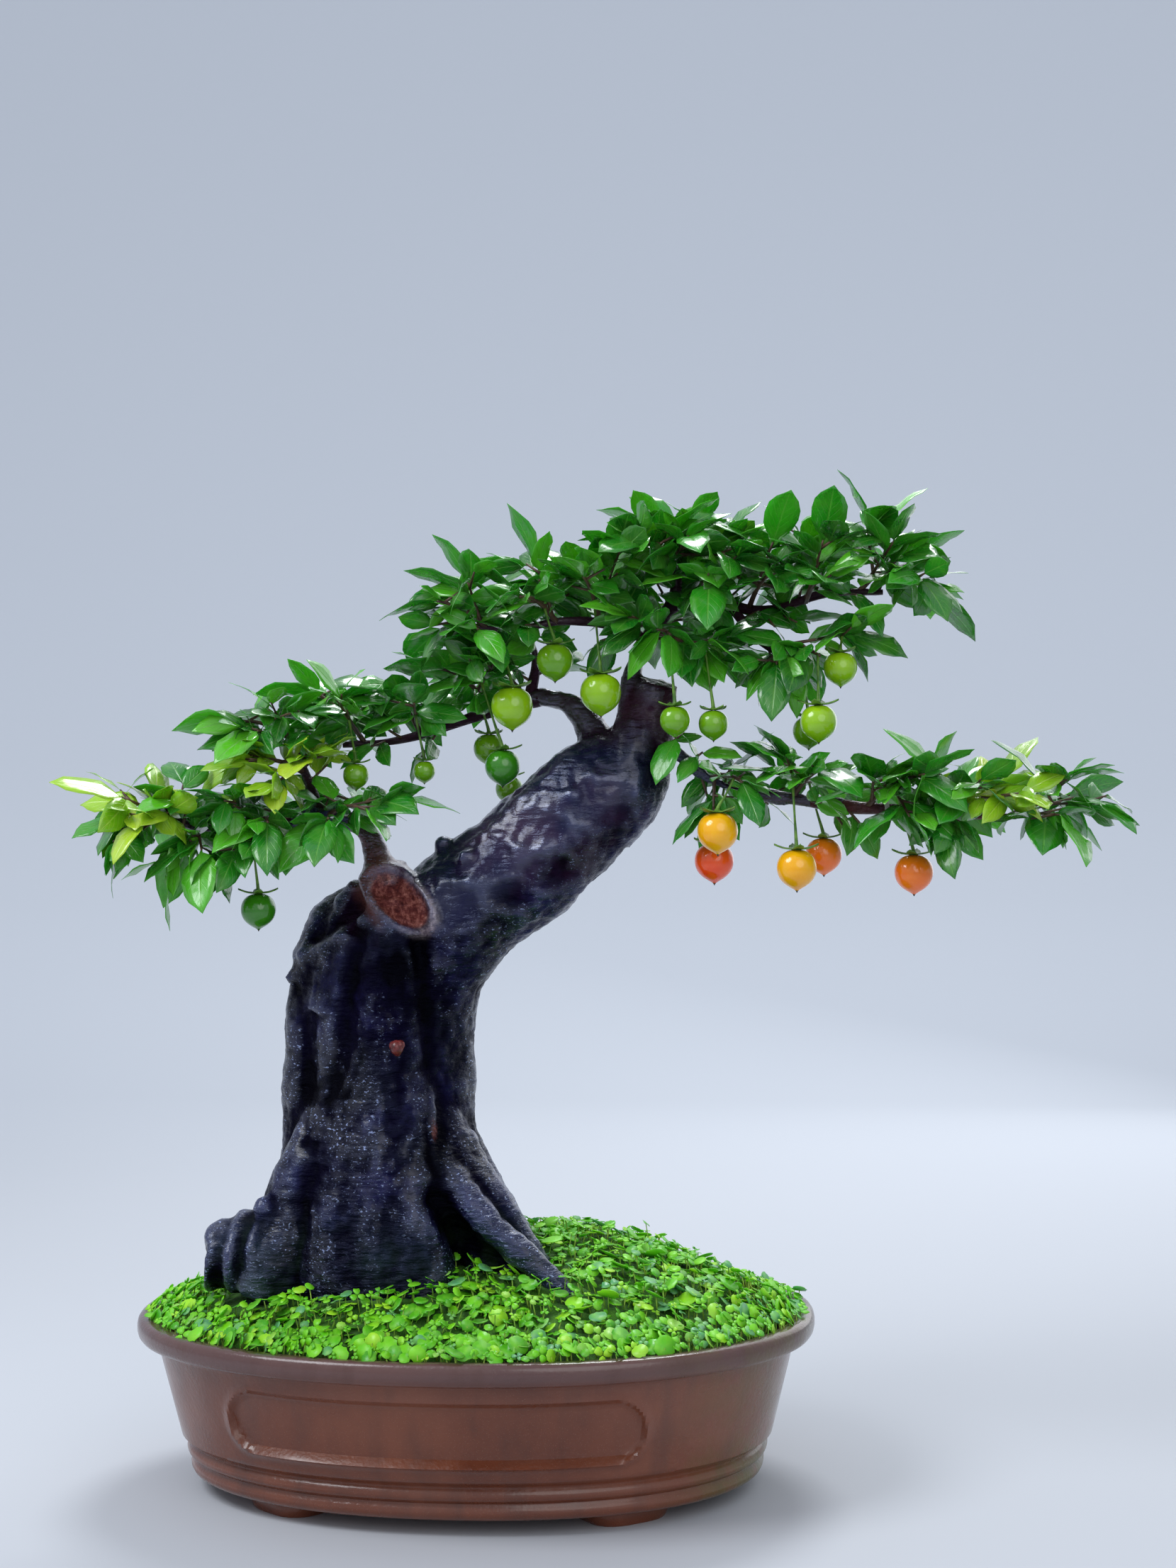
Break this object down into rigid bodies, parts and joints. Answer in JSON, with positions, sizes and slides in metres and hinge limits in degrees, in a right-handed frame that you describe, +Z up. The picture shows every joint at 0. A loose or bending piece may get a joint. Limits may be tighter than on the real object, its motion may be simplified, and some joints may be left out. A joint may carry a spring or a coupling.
{
  "type": "potted bonsai tree",
  "caption": "Slanting persimmon bonsai with leafy pads and hanging round fruit, rooted in round-leaved ground cover in an oval footed stoneware pot.",
  "frame": {"origin": "under the middle of the whole piece, on the surface that the pot's feet stand on", "axes": "+Z up, +X along the pot's length towards the tree's long low branch, -Y towards the front of the pot"},
  "size_m": [0.5488, 0.264, 0.5284],
  "materials": {
    "stoneware": "wet satin, reddish brown",
    "soil": "rough, damp",
    "net": "matte",
    "bark": "wet, nearly black with purple",
    "leaf": "waxy and wet",
    "young_leaf": "waxy",
    "ground_leaf": "satin",
    "fruit_deep_green": "smooth gloss",
    "fruit_green": "smooth gloss",
    "fruit_light_green": "smooth gloss",
    "fruit_yellow": "smooth gloss",
    "fruit_orange": "smooth gloss",
    "fruit_red": "smooth gloss",
    "thread": "matte"
  },
  "bodies": {
    "root": {"pot": "stoneware", "soil": "soil", "drain_screen_left": "net", "drain_screen_right": "net", "trunk": "bark", "spray_apex_front": "leaf", "spray_apex_back": "leaf", "spray_left_pad_inner": "leaf", "spray_left_pad_middle": "leaf", "spray_left_pad_outer": "leaf", "spray_centre_low": "leaf", "spray_centre_back": "leaf", "spray_centre_right": "leaf", "spray_right_pad_inner": "leaf", "spray_right_pad_middle": "leaf", "spray_right_pad_outer": "leaf", "spray_right_low": "leaf", "spray_left_reach": "leaf", "spray_left_fork": "leaf", "spray_left_mid": "leaf", "spray_low_rise_top": "leaf", "spray_low_inner": "leaf", "spray_low_middle": "leaf", "spray_low_outer": "leaf", "spray_low_tip": "leaf", "spray_right_first": "leaf", "spray_right_second": "leaf", "spray_right_third": "leaf", "spray_right_fourth": "leaf", "spray_right_tip": "leaf", "spray_young_low": "young_leaf", "spray_young_far_left": "young_leaf", "spray_young_right": "young_leaf", "fruit_1": "fruit_deep_green", "fruit_2": "fruit_green", "fruit_3": "fruit_green", "fruit_4": "fruit_green", "fruit_5": "fruit_light_green", "fruit_6": "fruit_deep_green", "fruit_7": "fruit_green", "fruit_8": "fruit_green", "fruit_9": "fruit_light_green", "fruit_10": "fruit_green", "fruit_11": "fruit_green", "fruit_12": "fruit_light_green", "fruit_13": "fruit_light_green", "fruit_14": "fruit_green", "fruit_15": "fruit_yellow", "fruit_16": "fruit_red", "fruit_17": "fruit_yellow", "fruit_18": "fruit_orange", "fruit_19": "fruit_orange", "cover_1": "ground_leaf", "cover_2": "ground_leaf", "cover_3": "ground_leaf", "cover_4": "ground_leaf", "cover_5": "ground_leaf", "cover_6": "ground_leaf", "thread_tie": "thread"}
  },
  "joints": []
}
